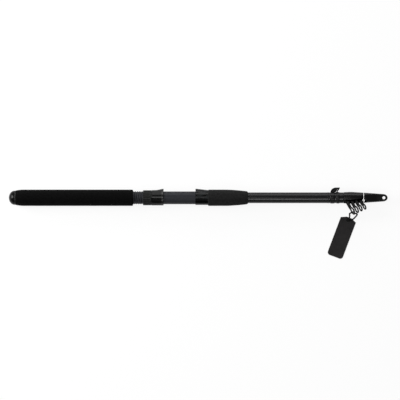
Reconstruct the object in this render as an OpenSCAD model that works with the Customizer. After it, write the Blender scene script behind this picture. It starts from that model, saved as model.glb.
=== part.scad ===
// Collapsed telescopic fishing rod, lying on its side with the reel seat turned to +Y.
// X runs along the rod towards the tip, Z is up, and the origin is on the rod's axis
// at the middle of the reel seat.

/* [Rear handle] */
// Diameter of the rear foam grip
rear_grip_d = 32.5; // [30:0.5:36]
// Length of the rear foam grip
rear_grip_len = 235; // [180:1:300]
// Diameter of the rear grip at its butt end
rear_grip_end_d = 29; // [27:0.5:30]
// Length over which the rear grip swells from its butt end
rear_grip_swell = 16; // [8:1:40]
// Radius of the grips' square corners
grip_corner = 2; // [1:0.5:4]

/* [Butt end] */
// Diameter of the screw cap at its rim
cap_d = 28.4; // [25:0.2:29]
// Length of the cap's dome
cap_len = 11.5; // [8:0.5:20]
// Thickness of the metal flange between cap and grip
flange_t = 2; // [1:0.5:4]
// Length of the threaded sleeve in the butt tube
sleeve_len = 14; // [13:1:25]
// Wall of the threaded sleeve
sleeve_wall = 1.6; // [1.2:0.1:2.4]
// Length of the cap's threaded spigot
spigot_len = 10; // [6:0.5:12]
// Thickness of the pad that the inner sections rest on
pad_t = 4; // [2:0.5:8]

/* [Reel seat] */
// Diameter of the reel seat barrel
barrel_d = 26; // [25:0.2:28]
// Distance between the two hoods' mouths
seat_opening = 64; // [50:1:80]
// Length of thread in view behind the lock nut
thread_show = 20; // [18:1:40]
// How far the hood can travel each way from rest
hood_travel = 16; // [8:1:17]
// Depth of the flat bed for the reel's foot
bed_drop = 0.4; // [0.2:0.1:1]
// Pitch of the barrel's thread
thread_pitch = 4.5; // [3:0.25:6]
// Depth of the barrel's thread
thread_depth = 0.6; // [0.3:0.1:0.8]
// Width of the barrel's keyway
keyway_w = 3; // [2:0.5:5]
// Depth of the barrel's keyway
keyway_depth = 0.8; // [0.6:0.1:1.2]
// Length of the lock nut
nut_len = 16.8; // [10:0.2:24]
// Diameter of the lock nut
nut_d = 30.2; // [29.4:0.2:33]
// Number of finger flutes round the nut
nut_flutes = 20; // [12:1:28]
// Depth of a finger flute
flute_depth = 0.5; // [0.3:0.1:0.8]
// Width of the plain collar at the nut's front
nut_collar = 3; // [2:0.5:5]
// Length of the moving hood
hood_len = 24; // [20:0.5:30]
// Diameter of the moving hood's body
hood_d = 30.6; // [29.6:0.2:33]
// Length of the fixed hood
fixed_hood_len = 25; // [20:0.5:35]
// Diameter of the fixed hood's body
fixed_hood_d = 28.8; // [28.4:0.2:32]
// Height of both lips' mouths above the rod's axis
lip_reach = 18.2; // [17.4:0.1:20]
// Diameter of the lips' arch
lip_d = 22.4; // [20:0.2:24]
// Wall of the lips
lip_wall = 1.2; // [1:0.1:1.8]
// Slope of the moving hood's lip
moving_lip_slope = 12; // [8:0.5:16]
// Slope of the fixed hood's lip
fixed_lip_slope = 6.5; // [5:0.5:10]
// Depth of the fixed hood's pocket
fixed_pocket = 18; // [10:1:20]
// Distance of the bright band from the moving hood's mouth
band_setback = 2; // [1:0.5:6]
// Width of the bright band
band_w = 1.6; // [1:0.2:3]
// How far the bright band stands proud of the hood
band_proud = 0.25; // [0.1:0.05:0.5]

/* [Fore grip] */
// Diameter of the fore grip
fore_grip_d = 32.5; // [30:0.5:36]
// Length of the fore grip
fore_grip_len = 80; // [60:1:120]
// Length of the fore grip's straight stretch
fore_grip_straight = 35; // [20:1:50]
// Diameter of the fore grip's nose
fore_nose_d = 27; // [25:0.5:29]
// Length of the fore grip's rounded nose
fore_nose_len = 6; // [4:0.5:10]
// How late the fore grip's taper sets in
fore_curve = 1.6; // [1:0.1:2]

/* [Blank] */
// Outer diameter of the butt tube
tube_d = 21.5; // [20:0.1:23]
// Wall of the butt tube
tube_wall = 1.3; // [1:0.05:1.6]
// Length of the butt tube in front of the fore grip
tube_show = 191; // [150:1:260]
// Wall of the inner sections
section_wall = 0.95; // [0.7:0.05:1.1]
// Slope of the inner sections, in radius lost per metre
section_slope = 1.3; // [1:0.05:1.5]
// Length that two drawn sections hold in each other
section_hold = 60; // [40:1:90]
// Distance from the butt tube's end to the first guide collar
first_collar_gap = 3; // [2.5:0.5:8]
// Distance from the last guide collar to the rod's tip
tip_show = 19; // [16:0.5:20]

/* [Guides] */
// Length of the sliding sections' guide collars
collar_len = 7.5; // [5:0.5:9]
// Wall of the guide collars
collar_wall = 1; // [0.7:0.1:1.2]
// Forward lean of every ring
ring_lean = 32; // [28:1:40]
// Forward lean of the frames' legs
leg_lean = 25; // [20:1:30]
// Outer diameter of the largest ring
ring_big_d = 17.6; // [16:0.2:18.4]
// Step down in diameter from ring to ring
ring_step_d = 1.5; // [1.2:0.1:2]
// Reach of the largest ring from the rod's axis
ring_big_reach = 41; // [38:0.5:43]
// Step down in reach from ring to ring
ring_step_reach = 3; // [2:0.25:3.5]
// Turn of the first sliding guide above the horizontal
guide_roll = 38; // [32:1:42]
// Further turn from guide to guide
guide_roll_step = 3; // [0:0.5:4]
// Outer diameter of the butt tube's ring
butt_ring_d = 10; // [9:0.2:11]
// Reach of the butt tube's ring from the rod's axis
butt_ring_reach = 21; // [20:0.1:22]
// Outer diameter of the tip ring
tip_ring_d = 5.6; // [5:0.2:6]
// Reach of the tip ring from the rod's axis
tip_ring_reach = 6.6; // [6:0.1:7]
// Diameter of the butt guide's wire legs
leg_d = 2; // [1.6:0.1:2.2]
// Width of the sliding guides' stamped legs at their collar
leg_foot_w = 6.4; // [5:0.1:6.8]
// Width of the sliding guides' stamped legs at their ring
leg_head_w = 4; // [3:0.1:4.6]
// Thickness of the sliding guides' stamped legs
leg_plate_t = 1.2; // [1:0.1:1.5]
// Thickness of the cheeks of the butt tube's guide
cheek_t = 1; // [0.8:0.1:1.4]
// Outward splay of the cheeks
cheek_splay = 12; // [8:1:15]
// Radial width of a ring's metal holder
holder_w = 0.9; // [0.7:0.1:1.2]
// Thickness of a ring's metal holder
holder_t = 1.8; // [1.4:0.1:2.2]
// Radial width of the butt guide's and the tip's ceramic rings
ceramic_w = 1.1; // [0.8:0.1:1.3]
// Thickness of the butt guide's and the tip's ceramic rings
ceramic_t = 2.4; // [1.8:0.1:3]
// Radial width of the sliding guides' ceramic rings
slide_ceramic_w = 1.4; // [1.1:0.1:1.4]
// Thickness of the sliding guides' ceramic rings
slide_ceramic_t = 3; // [2.2:0.1:3.2]
// Distance from the butt tube's end to the guide's whipping
whipping_setback = 8; // [4:0.5:20]
// Length of the butt tube guide's whipping
whipping_len = 19; // [17:0.5:30]
// Thickness of the whipping
whipping_t = 0.9; // [0.8:0.05:1.4]
// Distance from the whipping to the thin trim ring behind it
trim_setback = 3; // [1:0.5:10]
// Width of the thin trim ring
trim_w = 1.6; // [1:0.2:4]
// Thickness of the thin trim ring
trim_t = 0.4; // [0.2:0.05:0.6]

/* [Tip cover] */
// Length of the tip cover
cover_len = 88; // [84:0.5:110]
// Diameter of the cover at its open end
cover_mouth_d = 22.2; // [21.8:0.2:24]
// Largest diameter of the cover
cover_d = 23.5; // [23:0.1:26]
// Distance from the open end to the largest diameter
cover_swell = 15; // [8:0.5:20]
// Width of the cover's flat end
cover_end_w = 15; // [13:0.5:17]
// Length of the cover's rounded end
cover_nose = 9.4; // [8:0.2:12]
// How late the cover's taper sets in
cover_curve = 1.1; // [1:0.05:1.4]
// Wall of the cover
cover_wall = 1.4; // [1:0.1:1.5]
// Free room in front of the rod's tip inside the cover
tip_room = 6; // [4:0.5:8]
// Distance from the cover's hollow to where its tab is flat
tab_root = 6; // [4:0.5:8]
// Thickness of the hanging tab
tab_t = 7; // [5:0.5:9]
// Distance from the cover's end to the middle of the hanging hole
hang_setback = 7.6; // [7:0.2:9]
// Diameter of the hanging hole
hang_d = 6; // [4:0.5:7]
// Length of the side slot that lets the guides out
slot_len = 46; // [44:0.5:50]
// Width of the side slot
slot_w = 12; // [11:0.5:14]
// Distance from the cover's open end to the thin tie
tie_setback = 39.5; // [37:0.5:43]
// Width of the tie
tie_w = 0.8; // [0.6:0.1:1.4]
// Thickness of the tie
tie_t = 0.5; // [0.3:0.1:0.8]

/* [Hang tag] */
// Width of the hang tag
tag_w = 32.4; // [28:0.2:36]
// Length of the hang tag
tag_len = 84; // [60:1:95]
// Thickness of the hang tag
tag_t = 0.6; // [0.4:0.1:0.6]
// Corner radius of the hang tag's lower end
tag_corner = 3; // [2:0.5:6]
// Width of the clipped corners at the tag's upper end
tag_clip_w = 11; // [6:0.5:12]
// Height of the clipped corners
tag_clip_h = 5; // [3:0.5:8]
// Turn of the tag on the floor, from the rod's square
tag_turn = 20.6; // [15:0.2:25]
// Distance from the tag's top edge to its hole
tag_hole_setback = 5; // [4.5:0.5:6]
// Diameter of the tag's hole
tag_hole_d = 5.4; // [5:0.2:6]
// Width of the eyelet's flange
eyelet_flange = 1.4; // [1:0.1:1.5]
// Thickness of the eyelet's metal
eyelet_t = 0.35; // [0.2:0.05:0.4]
// Diameter of the tag's cord
cord_d = 3; // [2.4:0.1:3.2]
// Diameter of the cord's knot
knot_d = 7; // [6.4:0.2:8]

/* [Clearances] */
// Glue line between two bonded pieces
glue = 0.05; // [0.02:0.01:0.08]
// Running clearance of screwed and sliding fits
run_fit = 0.06; // [0.03:0.01:0.1]
// Free clearance between pieces that only lie close
clear = 0.3; // [0.2:0.05:0.4]

/* [Hidden] */
$fn = 96;
// Overrun of a cutting shape past the face that it cuts
over = 1;

// Stations along the rod, from the reel seat outwards
mouth_x = seat_opening / 2;
hood_rear_x = -mouth_x - hood_len;
nut_rear_x = hood_rear_x - nut_len;
rear_grip_x = nut_rear_x - thread_show;
butt_x = rear_grip_x - rear_grip_len;
flange_x = butt_x - flange_t;
fore_grip_x = mouth_x + fixed_hood_len;
fore_end_x = fore_grip_x + fore_grip_len;
tube_tip_x = fore_end_x + tube_show;
nest_x = butt_x + spigot_len + pad_t + clear;
floor_z = -max(rear_grip_d, fore_grip_d) / 2;

// Nested blank: section 1 is the butt tube, 2 to 5 are tubes and 6 is the solid tip
collar_pitch = collar_len + 2 * clear;
function tip_x(n) =
    n == 1 ? tube_tip_x :
    n == 6 ? tip_x(5) + tip_show :
    tube_tip_x + first_collar_gap + collar_len + (n - 2) * collar_pitch;
function wall(n) = n == 1 ? tube_wall : section_wall;
// Radius lost per millimetre of length
slope = section_slope / 1000;
function tip_r(n) = n == 1 ? tube_d / 2 : rear_r(n) - slope * (tip_x(n) - nest_x);
function rear_r(n) = tip_r(n - 1) - wall(n - 1) - run_fit;
function outer_r(n, x) = tip_r(n) + (n == 1 ? 0 : slope * (tip_x(n) - x));

// Guides, modelled standing up along +Y and then turned about the rod
function ring_d(n) = n == 1 ? butt_ring_d : n == 6 ? tip_ring_d : ring_big_d - (n - 2) * ring_step_d;
function ring_reach(n) =
    n == 1 ? butt_ring_reach :
    n == 6 ? tip_ring_reach :
    ring_big_reach - (n - 2) * ring_step_reach;
function ring_h(n) = ring_reach(n) - ring_d(n) / 2 * cos(ring_lean) - holder_t / 2 * sin(ring_lean);
function roll(n) = n == 1 ? 0 : n == 6 ? 180 : 180 - guide_roll - (n - 2) * guide_roll_step;
function collar_r(n) = outer_r(n, tip_x(n) - collar_len) + glue + collar_wall;
leg_share = 0.2;
tip_leg_half = 0.9;
tip_leg_d = 1.2;
function leg_half(n) = n == 6 ? tip_leg_half : ring_d(n) * leg_share;
function leg_width(n) = n == 6 ? tip_leg_d : leg_d;
function slides(n) = n > 1 && n < 6;
function ceramic_wall(n) = slides(n) ? slide_ceramic_w : ceramic_w;
function ceramic_len(n) = slides(n) ? slide_ceramic_t : ceramic_t;
// Where the legs stand on their collar or foot, and where the ring's middle comes to lie
function base_x(n) = n == 1 ? foot_x + foot_len * ring_foot_share : tip_x(n) - collar_len / 2;
function base_r(n) = n == 1 ? foot_y + foot_t : collar_r(n);
function ring_x(n) = base_x(n) + (ring_h(n) - base_r(n)) * tan(leg_lean);

// Butt tube guide: its foot lies in the whipping
whipping_x = tube_tip_x - whipping_setback - whipping_len;
foot_inset = 1;
foot_front = 3.5;
foot_edge = 0.1;
foot_w = 2 * leg_half(1) + leg_d + 2 * foot_edge;
foot_t = 0.7;
foot_x = whipping_x + foot_inset;
foot_len = whipping_len - foot_inset - foot_front;
foot_y = tube_d / 2 + glue;
ring_foot_share = 0.92;

// Tip cover
cover_x = tube_tip_x + clear;
cover_end_x = cover_x + cover_len;
cover_steps = 10;
function cover_r(x, shrink = 0) =
    let (s = x - cover_x, run = cover_len - cover_swell - cover_nose)
    (s < cover_swell
        ? cover_mouth_d / 2 + (cover_d - cover_mouth_d) / 2 * sin(90 * s / cover_swell)
        : cover_d / 2 - (cover_d - cover_end_w) / 2 * pow((s - cover_swell) / run, cover_curve)) - shrink;
cavity_end_x = tip_x(6) + tip_room;
slot_roll = 180 - guide_roll - 1.5 * guide_roll_step;
flat_from_x = tip_x(4);
flat_to_x = cavity_end_x + tab_root;

// Hang tag, cord and knot on the floor beside the first sliding guide
tag_top = [tip_x(2) + 1.3, -39.6];
tag_hole = tag_top - tag_hole_setback * [sin(tag_turn), cos(tag_turn)];
tag_z = floor_z;
knot_z = tag_z + tag_t + eyelet_t;
// The cord's route from the knot through the guide's ring and back, measured from that section's
// end along the rod, from the rod's axis across it and from the floor upwards
cord_steps = [[-0.2, -43.2, 3.35], [0.9, -41, 4.05], [1.8, -38.2, 6.65], [1.9, -35.8, 11.05],
              [1.7, -33.9, 16.85], [1.5, -32.5, 23.25], [1.8, -31.6, 28.85], [2.7, -30.7, 32.4],
              [4.8, -29.8, 33.9], [7.2, -28.7, 33.3], [9.2, -28.3, 31.6], [10.1, -29.3, 28.6],
              [11.1, -30.6, 25.6], [13.1, -31.5, 22.4], [15.4, -31.9, 19.2], [16.7, -33, 15.4],
              [16.1, -35.2, 11.4], [14.4, -37.4, 7.9], [12.4, -39.6, 5.2], [9.9, -42, 3.3],
              [6.5, -44, 2.5], [3.1, -44.9, 2.5], [0.3, -44.6, 3.2]];
cord_route = [for (p = cord_steps) [tip_x(2) + p.x, p.y, floor_z + p.z]];

function arc(cx, cy, r, from, to, steps = 8) =
    [for (i = [0 : steps]) let (a = from + (to - from) * i / steps) [cx + r * cos(a), cy + r * sin(a)]];

// A body turned about the rod's axis from [radius, x] points
module turned(points) {
    rotate([0, 90, 0]) rotate_extrude() polygon(points);
}

// A plain ring about the rod's axis
module sleeve(from, to, outer, inner) {
    turned([[inner, from], [outer, from], [outer, to], [inner, to]]);
}

// A round bar between two points
module bar(p, q, d) {
    v = q - p;
    translate(p)
        rotate([0, acos(v.z / norm(v)), atan2(v.y, v.x)])
            cylinder(h = norm(v), d = d, $fn = 32);
}

module butt_cap() {
    dome = [for (a = [90 : -9 : 0]) [cap_d / 2 * cos(a), flange_x - cap_len * sin(a)]];
    spigot_r = tube_d / 2 - tube_wall - glue - sleeve_wall - run_fit;
    color("#1a1a1b") turned(concat(dome, [[spigot_r, flange_x], [spigot_r, butt_x + spigot_len],
                                          [0, butt_x + spigot_len]]));
}

module butt_pad() {
    pad_r = tube_d / 2 - tube_wall - glue - sleeve_wall - run_fit - clear;
    color("#3a3a38") turned([[0, butt_x + spigot_len], [pad_r, butt_x + spigot_len],
                             [pad_r, nest_x - clear], [0, nest_x - clear]]);
}

module butt_sleeve() {
    outer = tube_d / 2 - tube_wall - glue;
    bore = outer - sleeve_wall;
    lead = 1;
    color("#9a9b9d") turned([[bore, flange_x], [cap_d / 2, flange_x], [cap_d / 2, butt_x],
                             [outer, butt_x], [outer, butt_x + sleeve_len - lead],
                             [outer - lead, butt_x + sleeve_len], [bore, butt_x + sleeve_len]]);
}

module rear_grip() {
    bore = tube_d / 2 + glue;
    end_r = rear_grip_end_d / 2;
    r = rear_grip_d / 2;
    swell = [for (i = [0 : 8]) [end_r + (r - end_r) * sin(90 * i / 8), butt_x + rear_grip_swell * i / 8]];
    corner = arc(r - grip_corner, rear_grip_x - grip_corner, grip_corner, 0, 90);
    color("#161616") turned(concat([[bore, butt_x]], swell, corner, [[bore, rear_grip_x]]));
}

// The mouth of a tube is coned to grip the rear end of the next section when it is drawn
module blank_tube(n, rear) {
    tip = tip_x(n);
    hold = tip - section_hold;
    next = rear_r(n + 1) + run_fit / 2;
    core = wall(n);
    turned([[outer_r(n, rear) - core, rear], [outer_r(n, rear), rear], [tip_r(n), tip],
            [next - slope * section_hold, tip], [next, hold],
            [outer_r(n, hold) - core, hold - over]]);
}

module butt_tube() {
    color("#242425") blank_tube(1, butt_x);
}

module section_2_tube() {
    color("#232324") blank_tube(2, nest_x);
}

module section_3_tube() {
    color("#232324") blank_tube(3, nest_x);
}

module section_4_tube() {
    color("#232324") blank_tube(4, nest_x);
}

module section_5_tube() {
    color("#232324") blank_tube(5, nest_x);
}

module section_6_tip() {
    color("#232324") turned([[0, nest_x], [rear_r(6), nest_x], [tip_r(6), tip_x(6)], [0, tip_x(6)]]);
}

// The thread's furrows are drawn as rings, a pitch apart, as far as the nut can run
module reel_seat_barrel() {
    bed_y = barrel_d / 2 - bed_drop;
    r = barrel_d / 2;
    root_r = r - thread_depth;
    furrow = thread_pitch / 3;
    color("#3b3c42") difference() {
        sleeve(rear_grip_x, fore_grip_x, r, tube_d / 2 + glue);
        for (x = [rear_grip_x + thread_pitch : thread_pitch : hood_rear_x + hood_travel])
            turned([[root_r, x - furrow / 2], [r + over, x - furrow], [r + over, x + furrow],
                    [root_r, x + furrow / 2]]);
        translate([-mouth_x - hood_travel, bed_y, -barrel_d / 2])
            cube([2 * mouth_x + hood_travel + fixed_hood_len, barrel_d, barrel_d]);
        translate([rear_grip_x - over, -barrel_d / 2 - over, -keyway_w / 2])
            cube([mouth_x - rear_grip_x - over, keyway_depth + over, keyway_w]);
    }
}

module lock_nut() {
    r = nut_d / 2;
    bore = barrel_d / 2 + run_fit;
    edge = 0.8;
    flute_r = 1.6;
    flute_from = nut_rear_x + edge;
    flute_len = nut_len - nut_collar - edge;
    color("#2c2d2d") difference() {
        turned([[bore, nut_rear_x], [r - edge, nut_rear_x], [r, nut_rear_x + edge],
                [r, hood_rear_x - edge], [r - edge, hood_rear_x], [bore, hood_rear_x]]);
        for (i = [0 : nut_flutes - 1])
            rotate([360 / nut_flutes * i, 0, 0])
                translate([flute_from, 0, r - flute_depth + flute_r])
                    rotate([0, 90, 0]) cylinder(h = flute_len, r = flute_r, $fn = 24);
    }
}

// Tilted arch over the reel's foot, running from its mouth towards +X or -X
module lip_arch(mouth, side, slope_deg, r, depth) {
    run_out = 6;
    translate([mouth, lip_reach - lip_d / 2, 0])
        rotate([0, 0, -side * slope_deg])
            translate([side * -run_out, 0, 0])
                rotate([0, side * 90, 0])
                    cylinder(h = depth + run_out, r = r);
}

// Everything between two stations on the rod
module slab(from, to) {
    translate([from, -2 * lip_reach, -2 * lip_reach]) cube([to - from, 4 * lip_reach, 4 * lip_reach]);
}

// The moving hood without its hollows, grown by an amount
module moving_hood_form(grow = 0) {
    r = hood_d / 2 + grow;
    edge = 1.2;
    arch = (lip_reach - hood_d / 2) / tan(moving_lip_slope) + hood_d / 2;
    intersection() {
        union() {
            turned([[0, hood_rear_x], [r - edge, hood_rear_x], [r, hood_rear_x + edge],
                    [r, -mouth_x], [0, -mouth_x]]);
            lip_arch(-mouth_x, -1, moving_lip_slope, lip_d / 2 + grow, min(arch, hood_len - edge));
        }
        slab(hood_rear_x, -mouth_x);
    }
}

module moving_hood() {
    key_h = keyway_depth - clear;
    bore = barrel_d / 2 + run_fit;
    color("#232424") {
        difference() {
            moving_hood_form();
            sleeve(hood_rear_x - over, -mouth_x + over, bore, 0);
            lip_arch(-mouth_x, -1, moving_lip_slope, lip_d / 2 - lip_wall, hood_len);
        }
        translate([hood_rear_x + over, -bore - over / 2, clear - keyway_w / 2])
            cube([hood_len - 2 * over, key_h + over / 2, keyway_w - 2 * clear]);
    }
}

module moving_hood_band() {
    band_x = -mouth_x - band_setback;
    color("#b9bab8") intersection() {
        difference() {
            moving_hood_form(band_proud);
            moving_hood_form(glue);
        }
        slab(band_x - band_w, band_x);
    }
}

module fixed_hood() {
    r = fixed_hood_d / 2;
    edge = 0.8;
    color("#1f2526") difference() {
        intersection() {
            union() {
                turned([[0, mouth_x], [r - edge, mouth_x], [r, mouth_x + edge],
                        [r, fore_grip_x], [0, fore_grip_x]]);
                lip_arch(mouth_x, 1, fixed_lip_slope, lip_d / 2, 2 * fixed_hood_len);
            }
            slab(mouth_x, fore_grip_x);
        }
        sleeve(mouth_x - over, fore_grip_x + over, barrel_d / 2 + glue, 0);
        lip_arch(mouth_x, 1, fixed_lip_slope, lip_d / 2 - lip_wall, fixed_pocket);
    }
}

module fore_grip() {
    bore = tube_d / 2 + glue;
    r = fore_grip_d / 2;
    nose_r = fore_nose_d / 2;
    taper_x = fore_grip_x + fore_grip_straight;
    nose_x = fore_end_x - fore_nose_len;
    corner = arc(r - grip_corner, fore_grip_x + grip_corner, grip_corner, -90, 0);
    taper = [for (i = [0 : 10])
             [r - (r - nose_r) * pow(i / 10, fore_curve), taper_x + (nose_x - taper_x) * i / 10]];
    nose = [for (a = [9 : 9 : 90]) [bore + (nose_r - bore) * cos(a), nose_x + fore_nose_len * sin(a)]];
    color("#1d1d1d") turned(concat([[bore, fore_grip_x]], corner, taper, nose));
}

module tube_trim_ring() {
    to = whipping_x - trim_setback;
    inner = tube_d / 2 + glue;
    color("#101010") sleeve(to - trim_w, to, inner + trim_t, inner);
}

module guide_1_whipping() {
    inner = tube_d / 2 + glue;
    outer = inner + whipping_t;
    run_up = 4;
    end_t = 0.2;
    end_r = inner + end_t;
    to = whipping_x + whipping_len;
    color("#191919") difference() {
        turned([[inner, whipping_x], [end_r, whipping_x], [outer, whipping_x + run_up],
                [outer, to - run_up], [end_r, to], [inner, to]]);
        translate([foot_x - glue, foot_y - over, -foot_w / 2 - glue])
            cube([foot_len + 2 * glue, over + whipping_t + over, foot_w + 2 * glue]);
    }
}

// Moves a ring from the rod's origin to its leaning place in a guide that stands up
module at_ring(n) {
    translate([ring_x(n), ring_h(n), 0]) rotate([0, 0, -ring_lean]) rotate([0, 90, 0]) children();
}

// Metal ring holder and its two legs
module ring_and_legs(n) {
    r = ring_d(n) / 2;
    mid = r - holder_w / 2;
    half = leg_half(n);
    drop = sqrt(mid * mid - half * half);
    foot_in = 0.4;
    foot = [base_x(n), sqrt(base_r(n) * base_r(n) - half * half) - foot_in];
    head = [ring_x(n) - drop * sin(ring_lean), ring_h(n) - drop * cos(ring_lean)];
    at_ring(n) cylinder(h = holder_t, r = r, center = true);
    for (side = [-1, 1])
        if (slides(n))
            translate([0, 0, side * half])
                linear_extrude(height = leg_plate_t, center = true)
                    polygon([foot - [leg_foot_w / 2, 0], foot + [leg_foot_w / 2, 0],
                             head + [leg_head_w / 2, 0], head - [leg_head_w / 2, 0]]);
        else
            bar([foot.x, foot.y, side * half], [head.x, head.y, side * half], leg_width(n));
}

// Bore of a ring holder, which the ceramic ring fills
module holder_bore(n) {
    at_ring(n) cylinder(h = ceramic_len(n) + 2 * clear, r = ring_d(n) / 2 - holder_w, center = true);
}

// Frame of a sliding section's guide: collar, legs and ring holder in one piece
module guide_frame(n) {
    bore = collar_r(n) - collar_wall;
    color("#202021") rotate([roll(n), 0, 0]) difference() {
        union() {
            sleeve(tip_x(n) - collar_len, tip_x(n), collar_r(n), 0);
            ring_and_legs(n);
        }
        sleeve(tip_x(n) - collar_len - over, tip_x(n) + over, bore, 0);
        holder_bore(n);
    }
}

// Ceramic ring, with its bore and faces eased
module ceramic(n) {
    outer = ring_d(n) / 2 - holder_w - glue;
    inner = outer - ceramic_wall(n);
    half = ceramic_len(n) / 2;
    ease_share = 0.4;
    ease = ceramic_wall(n) * ease_share;
    color("#0c0c0e") rotate_extrude()
        polygon([[inner + ease, -half], [outer - ease / 2, -half], [outer, ease / 2 - half],
                 [outer, half - ease / 2], [outer - ease / 2, half], [inner + ease, half],
                 [inner, half - ease], [inner, ease - half]]);
}

module guide_ring(n) {
    rotate([roll(n), 0, 0]) at_ring(n) ceramic(n);
}

// Cheek of the butt tube's guide: its back rises from the foot in an arc to the ring's crown
module cheek() {
    crown_share = 0.76;
    crown_x = foot_x + foot_len * crown_share;
    reach = ring_d(1) / 2;
    crown_h = ring_h(1) + reach * cos(ring_lean) - foot_y;
    back = [for (a = [180 : -10 : 90]) [crown_x + (crown_x - foot_x) * cos(a), crown_h * sin(a)]];
    cheek_in = 0.25;
    translate([0, foot_y, foot_w / 2 - cheek_in])
        rotate([cheek_splay, 0, 0])
            translate([0, 0, -cheek_t])
                linear_extrude(height = cheek_t)
                    polygon(concat(back, [[ring_x(1) + reach * sin(ring_lean), crown_h], [base_x(1), 0]]));
}

// The butt tube's guide stands on a foot in place of a collar, and cheeks brace its ring from behind
module guide_1_frame() {
    color("#202021") difference() {
        union() {
            translate([foot_x, foot_y - foot_t, -foot_w / 2]) cube([foot_len, 2 * foot_t, foot_w]);
            ring_and_legs(1);
            cheek();
            mirror([0, 0, 1]) cheek();
        }
        sleeve(foot_x - over, foot_x + foot_len + over, foot_y, 0);
        holder_bore(1);
    }
}

module guide_1_ring() {
    at_ring(1) ceramic(1);
}

module guide_2_frame() {
    guide_frame(2);
}

module guide_2_ring() {
    guide_ring(2);
}

module guide_3_frame() {
    guide_frame(3);
}

module guide_3_ring() {
    guide_ring(3);
}

module guide_4_frame() {
    guide_frame(4);
}

module guide_4_ring() {
    guide_ring(4);
}

module guide_5_frame() {
    guide_frame(5);
}

module guide_5_ring() {
    guide_ring(5);
}

module tip_top_frame() {
    guide_frame(6);
}

module tip_top_ring() {
    guide_ring(6);
}

// Outside of the tip cover, or its inside when shrunk by the wall
module cover_form(from, to, shrink) {
    nose_x = min(to, cover_end_x - cover_nose);
    side = [for (i = [0 : cover_steps]) let (x = from + (nose_x - from) * i / cover_steps)
            [cover_r(max(x, cover_x), shrink), x]];
    nose_r = cover_r(nose_x, shrink);
    nose_len = to - nose_x;
    nose = nose_len > 0
        ? [for (a = [15 : 15 : 90]) [nose_r * cos(a), nose_x + nose_len * sin(a)]]
        : [[0, nose_x]];
    half_max = cover_d / 2 - shrink;
    half_min = tab_t / 2 - shrink;
    intersection() {
        turned(concat([[0, from]], side, nose));
        rotate([90, 0, 0])
            linear_extrude(height = 2 * cover_d, center = true)
                polygon([[from, -half_max], [flat_from_x, -half_max], [flat_to_x, -half_min],
                         [to, -half_min], [to, half_min], [flat_to_x, half_min],
                         [flat_from_x, half_max], [from, half_max]]);
    }
}

module tip_cover() {
    color("#232425") difference() {
        cover_form(cover_x, cover_end_x, 0);
        cover_form(cover_x - over, cavity_end_x, cover_wall);
        rotate([slot_roll, 0, 0])
            translate([cover_x - over, 0, -slot_w / 2]) cube([slot_len + over, cover_d, slot_w]);
        translate([cover_end_x - hang_setback, 0, -tab_t]) cylinder(h = 2 * tab_t, d = hang_d);
    }
}

module cover_tie() {
    from = cover_x + tie_setback;
    color("#e8e8e4") intersection() {
        difference() {
            cover_form(cover_x, cover_end_x, -glue - tie_t);
            cover_form(cover_x - over, cover_end_x, -glue);
        }
        slab(from, from + tie_w);
    }
}

module on_tag() {
    translate([tag_top.x, tag_top.y, tag_z]) rotate([0, 0, -tag_turn]) children();
}

module hang_tag() {
    side = tag_w / 2;
    inner = side - tag_corner;
    rise = tag_corner - tag_len;
    color("#1b191a") on_tag() linear_extrude(height = tag_t) difference() {
        polygon(concat(arc(-inner, rise, tag_corner, 180, 270), arc(inner, rise, tag_corner, 270, 360),
                       [[side, -tag_clip_h], [side - tag_clip_w, 0],
                        [tag_clip_w - side, 0], [-side, -tag_clip_h]]));
        translate([0, -tag_hole_setback]) circle(d = tag_hole_d);
    }
}

module tag_eyelet() {
    bore = tag_hole_d / 2 - glue - eyelet_t;
    color("#2a2a2b") translate([tag_hole.x, tag_hole.y, tag_z])
        rotate_extrude()
            polygon([[bore, 0], [bore + eyelet_t, 0], [bore + eyelet_t, tag_t],
                     [tag_hole_d / 2 + eyelet_flange, tag_t],
                     [tag_hole_d / 2 + eyelet_flange, tag_t + eyelet_t], [bore, tag_t + eyelet_t]]);
}

module tag_knot() {
    sink = 0.9;
    color("#151415") difference() {
        translate([tag_hole.x, tag_hole.y, knot_z + knot_d / 2 - sink]) sphere(d = knot_d);
        translate([tag_hole.x - knot_d, tag_hole.y - knot_d, knot_z - knot_d])
            cube([2 * knot_d, 2 * knot_d, knot_d]);
    }
}

// Round tube swept along a route, its rings carried from step to step without a twist
function unit(v) = v / norm(v);
function heading(route, i) = unit(route[min(i + 1, len(route) - 1)] - route[max(i - 1, 0)]);
function across(route, i) =
    let (along = heading(route, i), before = i == 0 ? cross(along, [0, 0, 1]) : across(route, i - 1))
    unit(before - (before * along) * along);

module swept_tube(route, d, sides = 8) {
    last = len(route) - 1;
    points = [for (i = [0 : last])
        let (side = across(route, i), up = cross(side, heading(route, i)))
        for (a = [0 : 360 / sides : 359]) route[i] + d / 2 * (cos(a) * side + sin(a) * up)];
    wall_faces = [for (i = [0 : last - 1], k = [0 : sides - 1])
        let (a = i * sides + k, b = i * sides + (k + 1) % sides)
        each [[a, b, b + sides], [a, b + sides, a + sides]]];
    start_cap = [for (k = [1 : sides - 2]) [0, k + 1, k]];
    end_cap = [for (k = [1 : sides - 2]) [last * sides, last * sides + k, last * sides + k + 1]];
    polyhedron(points, concat(wall_faces, start_cap, end_cap));
}

module tag_cord() {
    color("#131213") swept_tube(cord_route, cord_d);
}

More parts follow.
